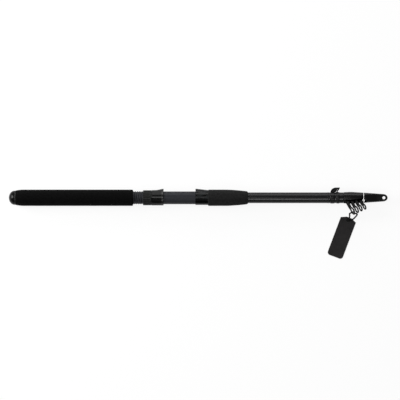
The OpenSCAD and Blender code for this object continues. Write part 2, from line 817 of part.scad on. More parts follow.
butt_cap();
butt_pad();
butt_sleeve();
rear_grip();
butt_tube();
reel_seat_barrel();
lock_nut();
moving_hood();
moving_hood_band();
fixed_hood();
fore_grip();
tube_trim_ring();
guide_1_whipping();
guide_1_frame();
guide_1_ring();
section_2_tube();
guide_2_frame();
guide_2_ring();
section_3_tube();
guide_3_frame();
guide_3_ring();
section_4_tube();
guide_4_frame();
guide_4_ring();
section_5_tube();
guide_5_frame();
guide_5_ring();
section_6_tip();
tip_top_frame();
tip_top_ring();
tip_cover();
cover_tie();
hang_tag();
tag_eyelet();
tag_knot();
tag_cord();
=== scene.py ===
import math

import bmesh
import bpy
from mathutils import Matrix, Vector, noise


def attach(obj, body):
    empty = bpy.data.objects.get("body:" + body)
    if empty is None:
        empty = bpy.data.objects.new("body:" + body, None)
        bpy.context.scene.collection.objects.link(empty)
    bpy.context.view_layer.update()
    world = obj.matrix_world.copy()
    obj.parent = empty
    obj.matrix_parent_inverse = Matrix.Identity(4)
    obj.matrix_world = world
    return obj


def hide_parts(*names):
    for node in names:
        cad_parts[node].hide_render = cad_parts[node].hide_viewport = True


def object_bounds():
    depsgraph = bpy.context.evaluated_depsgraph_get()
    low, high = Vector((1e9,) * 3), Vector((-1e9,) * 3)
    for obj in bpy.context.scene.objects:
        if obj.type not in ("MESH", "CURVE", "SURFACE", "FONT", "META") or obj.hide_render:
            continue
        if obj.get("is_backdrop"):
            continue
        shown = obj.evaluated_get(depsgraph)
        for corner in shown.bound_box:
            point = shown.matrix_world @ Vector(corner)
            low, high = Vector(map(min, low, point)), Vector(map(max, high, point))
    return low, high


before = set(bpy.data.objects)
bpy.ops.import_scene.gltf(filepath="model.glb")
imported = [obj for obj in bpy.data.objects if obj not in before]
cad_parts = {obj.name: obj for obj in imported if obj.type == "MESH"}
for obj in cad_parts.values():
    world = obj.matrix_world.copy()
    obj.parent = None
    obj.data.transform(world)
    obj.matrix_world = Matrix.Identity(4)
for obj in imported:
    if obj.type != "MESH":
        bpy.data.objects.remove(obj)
cad_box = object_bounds()
scene = bpy.context.scene
scene.view_settings.view_transform = "Standard"

# Table and camera: the rod lies on a sheet of white board and is seen from straight above, from far
# enough that its length shows true. The board keeps the soft shadow close along the rod.
mm = 0.001
floor_z = -16.25 * mm
field_width = 0.8
field_middle = (0.041, -0.0045)
camera_height = 12.0
board_half, board_white, board_glow = 20, 0.98, 0.87


def node(tree, kind, *values, **named):
    """Adds a shader node; values fill its sockets in order, named ones set a setting or a socket."""
    made = tree.nodes.new("ShaderNode" + kind)
    for key, value in list(named.items()) + list(enumerate(values)):
        if isinstance(key, str) and hasattr(made, key):
            setattr(made, key, value)
            continue
        socket = made.inputs[key.replace("_", " ") if isinstance(key, str) else key]
        if isinstance(value, bpy.types.NodeSocket):
            tree.links.new(value, socket)
        else:
            socket.default_value = value
    return made


def maths(tree, operation, *values, **settings):
    """A sum of numbers and sockets, as a socket."""
    return node(tree, "Math", *values, operation=operation, **settings).outputs[0]


camera_data = bpy.data.cameras.new("camera")
camera_data.lens = camera_data.sensor_width * camera_height / field_width
camera = bpy.data.objects.new("camera", camera_data)
camera.location = (*field_middle, camera_height)
scene.collection.objects.link(camera)
scene.camera = camera

board_paint = bpy.data.materials.new("board_paint")
board_paint.use_nodes = True
tree = board_paint.node_tree
tree.nodes.remove(tree.nodes["Principled BSDF"])
ray = node(tree, "LightPath").outputs
seen = maths(tree, "ADD", ray["Is Camera Ray"], ray["Is Glossy Ray"], use_clamp=True)
seen = maths(tree, "ADD", seen, ray["Is Transmission Ray"], use_clamp=True)
share = maths(tree, "MULTIPLY", seen, board_glow)
matt = node(tree, "BsdfDiffuse", Color=(board_white, board_white, board_white, 1))
glow = node(tree, "Emission", Color=(1, 1, 1, 1), Strength=1)
mixed = node(tree, "MixShader", share, matt.outputs[0], glow.outputs[0])
tree.links.new(mixed.outputs[0], tree.nodes["Material Output"].inputs["Surface"])
board_shape = bmesh.new()
bmesh.ops.create_grid(board_shape, x_segments=1, y_segments=1, size=board_half,
                      matrix=Matrix.Translation((0, 0, floor_z)))
board_mesh = bpy.data.meshes.new("board")
board_shape.to_mesh(board_mesh)
board_shape.free()
board_mesh.materials.append(board_paint)
board = bpy.data.objects.new("board", board_mesh)
scene.collection.objects.link(board)
board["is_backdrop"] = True

# Studio light: a broad soft box stands low on the far side, in a dim room. Smaller ones over the handle
# and on the near side of the blank draw the long reflections, and one behind the butt lights its cap.
room_glow = 0.2
aim_start = -0.3
room = bpy.data.worlds.new("room")
room.use_nodes = True
room.node_tree.nodes["Background"].inputs["Color"].default_value = (1, 1, 1, 1)
room.node_tree.nodes["Background"].inputs["Strength"].default_value = room_glow
scene.world = room
for name, place, size, watts in (
        ("far_box", (0.3, 1.8, 0.7), (2.2, 0.95), 23),
        ("handle_strip", (-0.2, 0.2, 1.5), (0.7, 0.45), 4),
        ("blank_box", (0.25, -0.85, 1.35), (0.32, 0.8), 5),
        ("butt_box", (-1.5, 0.35, 0.75), (0.9, 1.0), 28)):
    lamp_data = bpy.data.lights.new(name, "AREA")
    lamp_data.shape = "RECTANGLE"
    lamp_data.size, lamp_data.size_y = size
    lamp_data.energy = watts
    lamp = bpy.data.objects.new(name, lamp_data)
    lamp.location = place
    aim = Vector((max(place[0], aim_start), 0, 0))
    lamp.rotation_euler = (aim - Vector(place)).to_track_quat("-Z", "Y").to_euler()
    scene.collection.objects.link(lamp)

# Rear and fore grips: closed-cell EVA foam tubes, turned and sanded to shape, then glued on the blank.
# The sanding leaves a fine open-celled nap that hardly shines.
fine_steps = 128
grip_r = 16.25
tube_r = 10.75
glue = 0.05
grip_bore = tube_r + glue
butt_x, rear_grip_end = -327.8, -92.8
fore_grip_start, fore_grip_end = 57.0, 137.0


def turned(outline, steps=96, closed=True):
    """A body turned about the rod's axis from (x, radius) points in millimetres."""
    shape = bmesh.new()
    points = [shape.verts.new((x * mm, 0, r * mm)) for x, r in outline]
    edges = [shape.edges.new(pair) for pair in zip(points, points[1:])]
    if closed:
        edges.append(shape.edges.new((points[-1], points[0])))
    bmesh.ops.spin(shape, geom=points + edges, cent=(0, 0, 0), axis=(1, 0, 0), angle=math.tau,
                   steps=steps, use_merge=True)
    bmesh.ops.remove_doubles(shape, verts=shape.verts, dist=1e-7)
    bmesh.ops.recalc_face_normals(shape, faces=shape.faces)
    return shape


def steps_between(start, end, step):
    """Evenly spaced stations from start to end, about a step apart."""
    count = max(1, round(abs(end - start) / step))
    return [start + (end - start) * i / count for i in range(count + 1)]


def reach_of(vert):
    """A point's distance from the rod's axis, in millimetres."""
    return math.hypot(vert.co.y, vert.co.z) / mm


def set_reach(vert, was, now):
    """Moves a point straight towards or away from the rod's axis."""
    vert.co.y *= now / was
    vert.co.z *= now / was


def make_piece(name, shape, material, body, stands_for, sharp=38):
    """Makes a finished shape an object of the rod, which rides on its body."""
    mesh = bpy.data.meshes.new(name)
    shape.to_mesh(mesh)
    shape.free()
    mesh.shade_smooth()
    mesh.set_sharp_from_angle(angle=math.radians(sharp))
    mesh.materials.append(material)
    piece = bpy.data.objects.new(name, mesh)
    scene.collection.objects.link(piece)
    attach(piece, body)
    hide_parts(*stands_for)
    return piece


def opened(material):
    """The node tree of a material, with its shader and the piece's coordinates."""
    tree = material.node_tree
    return tree, tree.nodes["Principled BSDF"], node(tree, "TexCoord").outputs["Object"]


def new_finish(name, **sockets):
    """A material with its even values set on the shader, and its node tree, shader and coordinates."""
    material = bpy.data.materials.new(name)
    material.use_nodes = True
    tree, shader, place = opened(material)
    for key, value in sockets.items():
        shader.inputs[key.replace("_", " ")].default_value = value
    return material, tree, shader, place


def mottle(tree, place, scale, detail, **settings):
    """The level of a cloudy pattern, as a socket."""
    return node(tree, "TexNoise", Vector=place, Scale=scale, Detail=detail, **settings).outputs["Fac"]


def shades(tree, shader, factor, dark, light, low=0.3, high=0.7, socket="Base Color"):
    """Lets a pattern carry a colour or a level between two shades."""
    ramp = node(tree, "ValToRGB", factor)
    ramp.color_ramp.elements[0].position = low
    ramp.color_ramp.elements[1].position = high
    for element, shade in zip(ramp.color_ramp.elements, (dark, light)):
        element.color = (*shade, 1) if isinstance(shade, tuple) else (shade, shade, shade, 1)
    tree.links.new(ramp.outputs["Color"], shader.inputs[socket])


def roughen(tree, shader, height, strength, depth):
    """Raises the surface by a pattern, depth in millimetres."""
    bump = node(tree, "Bump", Strength=strength, Distance=depth * mm, Height=height)
    tree.links.new(bump.outputs["Normal"], shader.inputs["Normal"])


def foam_finish(name, dark, light, specular, sheen):
    """Sanded foam: cut cells over a cloudy black, nearly without shine."""
    material, tree, shader, place = new_finish(name, Specular_IOR_Level=specular, Sheen_Weight=sheen,
                                               Sheen_Roughness=0.6)
    cells = node(tree, "TexVoronoi", Vector=place, Scale=2100.0).outputs["Distance"]
    cloud = mottle(tree, place, 260.0, 4.0)
    shades(tree, shader, cloud, dark, light)
    shades(tree, shader, cells, 0.82, 0.97, socket="Roughness")
    roughen(tree, shader, maths(tree, "MULTIPLY_ADD", cells, cloud, 0.12), 0.3, 0.18)
    return material


sanding, sanding_waves, sanded_wall = 0.07, 55, 1.5


def sanded(shape):
    """Lets the outside of a turned foam tube wander as hand sanding leaves it."""
    for vert in shape.verts:
        reach = reach_of(vert)
        if reach > grip_bore + sanded_wall:
            set_reach(vert, reach, reach + sanding * noise.noise(vert.co * sanding_waves))
    return shape


def corner(x, r, radius, start, end, count=5):
    """Points of a rounded corner about (x, r), its angle measured from +X towards the outside."""
    angles = [math.radians(start + (end - start) * i / count) for i in range(count + 1)]
    return [(x + radius * math.cos(a), r + radius * math.sin(a)) for a in angles]


def oval(x, r, along, out, angles):
    """Points of an oval about (x, r), their angles measured from the outside towards along."""
    turns = [math.radians(a) for a in angles]
    return [(x + along * math.sin(a), r + out * math.cos(a)) for a in turns]


swell_len, butt_end_r, edge_r = 16.0, 14.5, 2.0
butt_edge_r, swell_count = 0.6, 12
rear_outline = [(butt_x, grip_bore)]
rear_outline += corner(butt_x + butt_edge_r, butt_end_r - butt_edge_r, butt_edge_r, 180, 90, 3)
for station in range(1, swell_count + 1):
    share = station / swell_count
    rear_outline.append((butt_x + swell_len * share,
                         butt_end_r + (grip_r - butt_end_r) * math.sin(math.pi / 2 * share)))
rear_outline += [(x, grip_r) for x in steps_between(butt_x + swell_len, rear_grip_end - edge_r, 3)[1:-1]]
rear_outline += corner(rear_grip_end - edge_r, grip_r - edge_r, edge_r, 90, 0) + [(rear_grip_end, grip_bore)]
# Painted shade: the rear grip's copy of the foam is painted darker than the fore grip's, though both are one
# foam.
rear_foam_shaded = foam_finish("rear_foam_painted_shade", 0.0011, 0.003, 0.04, 0.006)
rear_foam = make_piece("rear_grip_foam", sanded(turned(rear_outline, fine_steps)), rear_foam_shaded, "handle",
                       ["rear_grip"])

taper_start, nose_start, nose_r = 92.0, 131.0, 13.5
taper_curve = 1.6
fore_outline = [(fore_grip_start, grip_bore)]
fore_outline += corner(fore_grip_start + edge_r, grip_r - edge_r, edge_r, 180, 90)
fore_outline += [(x, grip_r) for x in steps_between(fore_grip_start + edge_r, taper_start, 3)[1:]]
for x in steps_between(taper_start, nose_start, 2.5)[1:]:
    share = (x - taper_start) / (nose_start - taper_start)
    fore_outline.append((x, grip_r - (grip_r - nose_r) * share ** taper_curve))
fore_outline += oval(nose_start, grip_bore, fore_grip_end - nose_start, nose_r - grip_bore, range(10, 91, 10))
# Painted light: the fore grip's copy of the same foam is painted lighter than the rear grip's.
fore_foam_lit = foam_finish("fore_foam_painted_light", 0.0075, 0.0145, 0.06, 0.02)
fore_foam = make_piece("fore_grip_foam", sanded(turned(fore_outline, fine_steps)), fore_foam_lit, "handle",
                       ["fore_grip"])

# Butt end: an aluminium sleeve glued in the tube, whose flange shows as a dull ring behind the foam, and
# a glossy moulded cap that screws into it and holds the nested sections in on a soft pad.
flange_x, flange_r, flange_edge = -329.8, 14.2, 0.35
sleeve_r, sleeve_bore, sleeve_len = 9.4, 7.8, 14.0
spigot_r, spigot_end, cap_pitch, cap_thread = 7.74, -317.8, 2.0, 0.45
cap_crest, cap_flank = 0.35, 0.25
cap_len, cap_r = 11.5, 14.2


def ease(shape, width, segments=3, angle=30):
    """Rounds every edge of a shape that turns by more than an angle."""
    bmesh.ops.recalc_face_normals(shape, faces=shape.faces)
    sharp = [e for e in shape.edges if len(e.link_faces) == 2
             and e.calc_face_angle() > math.radians(angle)]
    bmesh.ops.bevel(shape, geom=sharp, offset=width * mm, offset_type="OFFSET", segments=segments,
                    profile=0.5, affect="EDGES", clamp_overlap=True, material=-1)
    return shape


def turn_of(vert):
    """A point's place round the rod's axis, in turns from +Y over the top."""
    return math.atan2(vert.co.z, vert.co.y) / math.tau


def furrow(phase, crest_share, flank_share):
    """Depth of a thread, 0 on its crest and 1 at its root, at a phase in turns."""
    off = abs(phase % 1 - 0.5)
    root = 0.5 - crest_share / 2 - flank_share
    return min(1, max(0, (root + flank_share - off) / flank_share))


def metal_finish(name, dark, light, rough_low, rough_high, turning):
    """Turned metal: fine rings of the cutting tool, with a little tarnish."""
    material, tree, shader, place = new_finish(name, Metallic=1.0)
    rings = mottle(tree, node(tree, "Mapping", place, Scale=turning).outputs[0], 90.0, 5.0)
    shades(tree, shader, mottle(tree, place, 340.0, 3.0), dark, light)
    shades(tree, shader, rings, rough_low, rough_high, socket="Roughness")
    roughen(tree, shader, rings, 0.15, 0.05)
    return material


def plastic_finish(name, dark, light, rough_low, rough_high, specular, grain=700.0, relief=0.06):
    """Moulded plastic: a fine spark-eroded grain with handling marks in its gloss."""
    material, tree, shader, place = new_finish(name, Specular_IOR_Level=specular)
    pits = mottle(tree, place, grain, 4.0)
    marks = mottle(tree, place, 75.0, 5.0, Roughness=0.65)
    shades(tree, shader, pits, dark, light)
    shades(tree, shader, marks, rough_low, rough_high, socket="Roughness")
    roughen(tree, shader, pits, 0.2, relief)
    return material


def speckled_finish(name, scale, detail, dark, light, rough_low, rough_high, relief=(), **sockets):
    """A plain material with one fine pattern in its colour and gloss, and in its surface if it has relief."""
    material, tree, shader, place = new_finish(name, **sockets)
    speck = mottle(tree, place, scale, detail)
    shades(tree, shader, speck, dark, light)
    shades(tree, shader, speck, rough_low, rough_high, socket="Roughness")
    if relief:
        roughen(tree, shader, speck, *relief)
    return material


sleeve_shape = ease(turned([(flange_x, sleeve_bore), (flange_x, flange_r), (butt_x, flange_r),
                            (butt_x, sleeve_r), (butt_x + sleeve_len, sleeve_r),
                            (butt_x + sleeve_len, sleeve_bore)]), flange_edge)
lathe_lines = (40, 1, 1)
sleeve_finish = metal_finish("flange_aluminium", 0.026, 0.052, 0.34, 0.48, lathe_lines)
make_piece("butt_sleeve_flange", sleeve_shape, sleeve_finish, "handle", ["butt_sleeve"])

cap_gap, cap_edge, spigot_root, spigot_edge, spigot_core = 0.05, 0.45, 0.4, 0.6, 6.0
groove_x, groove_half, groove_depth = flange_x - 1.2, 0.15, 0.25
cap_outline = oval(flange_x, 0, -cap_len, cap_r, range(90, 5, -4))
for off, drop in ((-2, 0.2), (-1, 0.2 + groove_depth), (1, 0.1 + groove_depth), (2, 0.08)):
    cap_outline.append((groove_x + off * groove_half, cap_r - drop))
cap_outline += corner(flange_x - cap_gap - cap_edge, cap_r - cap_gap - cap_edge, cap_edge, 80, 0, 3)
cap_outline += [(flange_x - cap_gap, spigot_r + spigot_root)]
cap_outline += [(x, spigot_r) for x in steps_between(flange_x, spigot_end - spigot_edge, 0.2)]
cap_outline += [(spigot_end, spigot_r - spigot_edge), (spigot_end, 0)]
cap_shape = turned(cap_outline, closed=False)
for vert in cap_shape.verts:
    x, reach = vert.co.x / mm, reach_of(vert)
    if flange_x < x < spigot_end - 0.1 and reach > spigot_core:
        cut = cap_thread * furrow((x - flange_x) / cap_pitch - turn_of(vert), cap_crest, cap_flank)
        set_reach(vert, reach, reach - cut)
cap_finish = plastic_finish("cap_gloss_black", 0.0012, 0.0024, 0.16, 0.26, 0.16, relief=0.02)
make_piece("butt_cap_moulding", cap_shape, cap_finish, "cap", ["butt_cap"])

pad_r, pad_end, pad_edge = 7.44, -313.8, 0.6
pad_outline = [(spigot_end, 0), (spigot_end, pad_r), (pad_end, pad_r), (pad_end, 0)]
pad_finish = speckled_finish("pad_rubber", 1300.0, 3.0, 0.02, 0.045, 0.7, 0.9, (0.3, 0.1),
                             Specular_IOR_Level=0.3)
pad = make_piece("butt_pad_rubber", ease(turned(pad_outline, closed=False), pad_edge), pad_finish, "cap_pad",
                 ["butt_pad"])

# Reel seat barrel: a moulded nylon tube, glued on the blank, with a coarse thread at its rear, a flat bed
# for the reel's foot on the +Y side and a keyway opposite, which keeps the moving hood from turning. The
# roots of the thread are darkened with painted shade.
barrel_r, barrel_start, barrel_end = 13.0, -92.8, 57.0
seat_pitch, seat_thread, thread_end, thread_fade = 4.5, 1.0, -41.0, 3.0
seat_crest, seat_flank = 0.3, 0.25
furrow_shade_top, furrow_shade_level = 0.4, 0.2
bed_y, bed_start = 12.6, -48.0
keyway_half, keyway_depth, keyway_end = 1.5, 0.8, 30.0
key_flat, key_foot, key_top = 1.5, 2.5, 3.5
barrel_outline = [(barrel_start, grip_bore)]
barrel_outline += [(x, barrel_r) for x in steps_between(barrel_start, thread_end + 2, 0.3)]
barrel_outline += [(x, barrel_r) for x in steps_between(thread_end + 2, barrel_end, 4)[1:]]
barrel_outline += [(barrel_end, grip_bore)]
barrel_shape = turned(barrel_outline, fine_steps)
column = math.tau / fine_steps
for vert in barrel_shape.verts:
    x, reach = vert.co.x / mm, reach_of(vert)
    if reach < barrel_r - 0.1:
        continue
    fade = min(1, max(0, (thread_end - x) / thread_fade))
    cut = seat_thread * furrow((x - barrel_start) / seat_pitch - turn_of(vert), seat_crest, seat_flank)
    set_reach(vert, reach, barrel_r - fade * cut)
    if x > bed_start and vert.co.y > bed_y * mm:
        vert.co.y = bed_y * mm
    from_key = abs(math.atan2(vert.co.z, -vert.co.y)) / column
    if x < keyway_end and from_key < key_top:
        if from_key > key_flat:
            vert.co.z = math.copysign(keyway_half * mm, vert.co.z)
        if from_key < key_foot:
            vert.co.y = (keyway_depth - barrel_r) * mm
barrel_finish = plastic_finish("seat_blue_grey", (0.0115, 0.0125, 0.016), (0.017, 0.0185, 0.0225),
                               0.4, 0.55, 0.18)
# Painted shade: the barrel's colour darkens from the thread's crests down to its roots, where shade falls in
# the furrows.
tree, shader, place = opened(barrel_finish)
plastic = shader.inputs["Base Color"].links[0].from_socket
across = node(tree, "VectorMath", place, (0, 1, 1), operation="MULTIPLY")
depth = node(tree, "VectorMath", across.outputs[0], operation="LENGTH").outputs["Value"]
furrow_shade = node(tree, "MapRange", depth, (barrel_r - seat_thread) * mm, (barrel_r - furrow_shade_top) * mm,
             furrow_shade_level, 1.0)
furrow_shaded = node(tree, "VectorMath", plastic, furrow_shade.outputs[0], operation="MULTIPLY")
tree.links.new(furrow_shaded.outputs[0], shader.inputs["Base Color"])
make_piece("reel_seat_tube", barrel_shape, barrel_finish, "handle", ["reel_seat_barrel"],
           sharp=30)

# Lock nut: a ring moulded in matt black nylon, with finger flutes round it and a plain collar in front.
# It screws along the barrel's thread and pushes the moving hood.
nut_r, nut_start, nut_end, nut_bore = 15.1, -72.8, -56.0, 13.06
nut_edge, nut_collar, flute_count, flute_depth, flute_half = 0.8, 3.0, 20, 0.9, 1.5
flute_open, flute_close = 0.4, 0.8
nut_outline = [(nut_start, nut_bore)] + corner(nut_start + nut_edge, nut_r - nut_edge, nut_edge, 180, 90, 4)
nut_outline += [(x, nut_r) for x in steps_between(nut_start + nut_edge, nut_end - nut_edge, 0.4)[1:-1]]
nut_outline += corner(nut_end - nut_edge, nut_r - nut_edge, nut_edge, 90, 0, 4) + [(nut_end, nut_bore)]
nut_shape = turned(nut_outline, steps=12 * flute_count)
for vert in nut_shape.verts:
    x, reach = vert.co.x / mm, reach_of(vert)
    if reach < nut_bore + 0.5:
        continue
    turn = turn_of(vert) * flute_count
    off = abs((turn + 0.5) % 1 - 0.5) * math.tau * nut_r / flute_count / flute_half
    along = min(1, x - nut_start - nut_edge + flute_open, (nut_end - nut_collar - x) / flute_close)
    set_reach(vert, reach, reach - flute_depth * max(0, 1 - off * off) * max(0, along))
nut_finish = plastic_finish("nut_matt_black", (0.0036, 0.004, 0.0038), (0.007, 0.0076, 0.0073),
                            0.42, 0.58, 0.17)
make_piece("lock_nut_ring", nut_shape, nut_finish, "nut", ["lock_nut"])

# Hoods: two moulded sleeves whose lips arch over the ends of the reel's foot, each with a polished panel.
# The rear one slides ahead of the nut and wears a thin bright band; the front one is glued on and has a
# woven carbon skin.
lip_reach, lip_r, lip_wall = 18.2, 11.2, 1.2
lip_centre = lip_reach - lip_r
hood_r, hood_start, hood_mouth, hood_bore = 15.3, -56.0, -32.0, 13.06
hood_slope, hood_pocket = math.tan(math.radians(12)), 24.0
fixed_r, fixed_mouth, fixed_end, fixed_pocket = 14.4, 32.0, 57.0, 18.0
fixed_slope = math.tan(math.radians(6.5))
lip_fillet, hood_steps = 0.5, 144


def arch_reach(centre, radius, turn):
    """Distance from the rod's axis to an arch whose middle stands off it towards +Y."""
    inside = radius ** 2 - (centre * math.sin(turn)) ** 2
    return centre * math.cos(turn) + math.sqrt(inside) if inside > 0 else 0


def blended(a, b, fillet):
    """The larger of two radii, with a fillet where they meet."""
    return (a + b + math.sqrt((a - b) ** 2 + fillet ** 2)) / 2 - fillet * fillet / 8


def hood_shell(outline, body_r, mouth, slope, pocket_depth, grow=0.0):
    """Raises the lip and hollows the pocket of a turned hood; slope is the lip's fall with distance."""
    shape = turned(outline, hood_steps)
    for vert in shape.verts:
        reach = reach_of(vert)
        away = abs(vert.co.x / mm - mouth)
        turn = math.atan2(vert.co.z, vert.co.y)
        centre = lip_centre - slope * away
        if reach > hood_bore + 0.6:
            r = blended(body_r, arch_reach(centre, lip_r + grow, turn), lip_fillet) - (body_r - reach)
        else:
            r = max(reach, arch_reach(centre, lip_r - lip_wall, turn) if away < pocket_depth else 0)
        set_reach(vert, reach, r)
    bmesh.ops.recalc_face_normals(shape, faces=shape.faces)
    return shape


def off_panel(tree, place, middle, half):
    """0 on a hood's polished panel, a strip along its top about a line in Y, and 1 off it."""
    split = node(tree, "SeparateXYZ", place).outputs
    across = maths(tree, "COMPARE", split["Y"], middle * mm, half * mm)
    on_top = maths(tree, "GREATER_THAN", split["Z"], 0.0)
    return maths(tree, "SUBTRACT", 1.0, maths(tree, "MULTIPLY", across, on_top))


hood_edge, mouth_edge = 1.2, 0.35
hood_outline = [(hood_start, hood_bore)]
hood_outline += corner(hood_start + hood_edge, hood_r - hood_edge, hood_edge, 180, 90, 5)
hood_side = steps_between(hood_start + hood_edge, hood_mouth - mouth_edge, 0.6)
hood_outline += [(x, hood_r) for x in hood_side[1:-1]]
hood_outline += corner(hood_mouth - mouth_edge, hood_r - mouth_edge, mouth_edge, 90, 0, 3)
hood_outline += [(x, hood_bore) for x in steps_between(hood_mouth, hood_start, 0.6)[:-1]]
gloss_finish = plastic_finish("hood_gloss_black", 0.0004, 0.0008, 0.12, 0.2, 0.2, relief=0.02)
panel_y, panel_half = -2.8, 7.8
matt_shade, matt_rough = 0.006, 0.34
tree, shader, place = opened(gloss_finish)
plain = off_panel(tree, place, panel_y, panel_half)
for socket, lift in (("Base Color", matt_shade), ("Roughness", matt_rough)):
    polished = shader.inputs[socket].links[0].from_socket
    tree.links.new(maths(tree, "MULTIPLY_ADD", plain, lift, polished), shader.inputs[socket])
hood_shape = hood_shell(hood_outline, hood_r, hood_mouth, hood_slope, hood_pocket)
make_piece("moving_hood_sleeve", hood_shape, gloss_finish, "hood", ["moving_hood"])

band_start, band_end, band_proud, band_edge = -35.6, -34.0, 0.25, 0.15
band_bore, band_top = hood_r + 0.02, hood_r + band_proud
band_outline = [(band_start, band_bore)]
band_outline += corner(band_start + band_edge, band_top - band_edge, band_edge, 180, 90, 2)
band_outline += corner(band_end - band_edge, band_top - band_edge, band_edge, 90, 0, 2)
band_outline.append((band_end, band_bore))
band_shape = hood_shell(band_outline, band_top, hood_mouth, hood_slope, 0, band_proud)
band_finish = metal_finish("band_bright", 0.05, 0.09, 0.22, 0.34, lathe_lines)
make_piece("moving_hood_trim", band_shape, band_finish, "hood", ["moving_hood_band"])

fixed_outline = corner(fixed_mouth + mouth_edge, fixed_r - mouth_edge, mouth_edge, 180, 90, 3)
fixed_outline += [(x, fixed_r) for x in steps_between(fixed_mouth + mouth_edge, fixed_end, 0.6)[1:]]
pocket_end = fixed_mouth + fixed_pocket
fixed_outline += [(x, hood_bore) for x in steps_between(fixed_end, pocket_end + 0.05, 3)]
fixed_outline += [(x, hood_bore) for x in steps_between(pocket_end - 0.05, fixed_mouth, 0.6)]
weave_finish, tree, shader, place = new_finish("hood_carbon_twill", Coat_Weight=0.02, Coat_Roughness=0.08)
tow, twill_repeat, twill_over = 4.4 * mm, 4.0, 1.5
fixed_panel_y, fixed_panel_half = -6.2, 4.6
weave_shine, panel_shine = 0.12, 0.03
split = node(tree, "SeparateXYZ", place).outputs
across = maths(tree, "MULTIPLY", maths(tree, "ARCTAN2", split["Z"], split["Y"]), fixed_r * mm / tow)
along = maths(tree, "MULTIPLY", split["X"], 1 / tow)
stair = maths(tree, "ADD", maths(tree, "FLOOR", across), maths(tree, "FLOOR", along))
plain = off_panel(tree, place, fixed_panel_y, fixed_panel_half)
over = maths(tree, "LESS_THAN", maths(tree, "FLOORED_MODULO", stair, twill_repeat), twill_over)
over = maths(tree, "MULTIPLY", over, plain)
shades(tree, shader, over, (0.0006, 0.0008, 0.0008), (0.0055, 0.007, 0.0074), 0.0, 1.0)
shades(tree, shader, over, 0.26, 0.4, 0.0, 1.0, socket="Roughness")
shine = maths(tree, "MULTIPLY_ADD", plain, weave_shine, panel_shine)
tree.links.new(shine, shader.inputs["Specular IOR Level"])
crown = node(tree, "Mix", over, data_type="FLOAT", A=maths(tree, "PINGPONG", across, 0.5),
             B=maths(tree, "PINGPONG", along, 0.5)).outputs["Result"]
roughen(tree, shader, maths(tree, "MULTIPLY", crown, plain), 0.5, 0.25)
fixed_shape = hood_shell(fixed_outline, fixed_r, fixed_mouth, fixed_slope, fixed_pocket)
make_piece("fixed_hood_sleeve", fixed_shape, weave_finish, "handle", ["fixed_hood"])

# Blank: six sections of rolled carbon cloth, ground, lacquered black and nested one in the other. The butt
# tube carries the handle; the others show only when the rod is drawn out.
tube_tip, tube_bore, mouth_bore, mouth_hold, mouth_cone = 328.0, 9.45, 9.34, 60.0, 0.08
rim_len, rim_bevel_len, rim_bevel = 1.5, 0.4, 0.3
tape_pitch = 3.2 * mm


def blank_finish(name, dark, light, rough_low, rough_high, specular):
    """Lacquered blank: the faint screw line of the rolling tape under a semi-gloss coat."""
    material, tree, shader, place = new_finish(name, Specular_IOR_Level=specular)
    split = node(tree, "SeparateXYZ", place).outputs
    turn = maths(tree, "ARCTAN2", split["Z"], split["Y"])
    lead = maths(tree, "MULTIPLY", split["X"], math.tau / tape_pitch)
    tape = maths(tree, "SINE", maths(tree, "SUBTRACT", lead, turn))
    cloud = mottle(tree, place, 160.0, 4.0)
    shades(tree, shader, cloud, dark, light)
    shades(tree, shader, cloud, rough_low, rough_high, socket="Roughness")
    dust = mottle(tree, place, 1500.0, 2.0)
    roughen(tree, shader, maths(tree, "MULTIPLY_ADD", tape, 0.1, dust), 0.05, 0.02)
    return material


tube_shape = turned([(butt_x, tube_bore), (butt_x, tube_r), (tube_tip - rim_len, tube_r),
                     (tube_tip - rim_bevel_len, tube_r), (tube_tip, tube_r - rim_bevel),
                     (tube_tip, mouth_bore), (tube_tip - mouth_hold, mouth_bore + mouth_cone),
                     (tube_tip - mouth_hold - 1, tube_bore)], fine_steps)
tube_finish = blank_finish("tube_lacquer", (0.0065, 0.0066, 0.007), (0.009, 0.0091, 0.0095), 0.18, 0.22, 0.2)
make_piece("butt_tube_blank", tube_shape, tube_finish, "handle", ["butt_tube"])

nest_x, section_slope, section_wall, slide_fit = -313.5, 0.0013, 0.95, 0.06
first_end, collar_step, tip_show, tip_number = 338.5, 8.1, 19.0, 6
section_ends = [first_end + step * collar_step for step in range(4)]
section_ends.append(section_ends[-1] + tip_show)
section_finish = blank_finish("section_lacquer", 0.005, 0.008, 0.18, 0.26, 0.2)
section_tips = []
rear_r = tube_bore - slide_fit
for number, end_x in enumerate(section_ends, 2):
    tip_r = rear_r - section_slope * (end_x - nest_x)
    next_r = tip_r - section_wall - slide_fit
    section_tips.append(tip_r)
    if number == tip_number:
        section_shape = turned([(nest_x, 0), (nest_x, rear_r), (end_x, tip_r), (end_x, 0)], fine_steps,
                               closed=False)
    else:
        hold_x, hold_r = end_x - mouth_hold, next_r + slide_fit / 2
        section_shape = turned([(nest_x, rear_r - section_wall), (nest_x, rear_r), (end_x, tip_r),
                                (end_x, hold_r - section_slope * mouth_hold), (hold_x, hold_r),
                                (hold_x - 1, tip_r + section_slope * (mouth_hold + 1) - section_wall)],
                               fine_steps)
    body = f"section_{number}"
    name = body + ("_tip" if number == tip_number else "_tube")
    make_piece(body + "_blank", section_shape, section_finish, body, [name])
    rear_r = next_r

# Trim ring and whipping: black thread wound tight round the butt tube and soaked in resin. A narrow band
# trims the blank, and two humps hold down the two ends of the guide's foot.
thread_pitch, thread_relief, lump, lump_waves = 0.42, 0.05, 0.16, 260
trim_start, trim_end, trim_low, trim_r, trim_ramp = 296.4, 298.0, 10.95, 11.2, 0.4
humps = ((301.0, 310.4), (313.6, 320.0))
hump_r, hump_end, run_up = 11.7, 11.0, 2.4


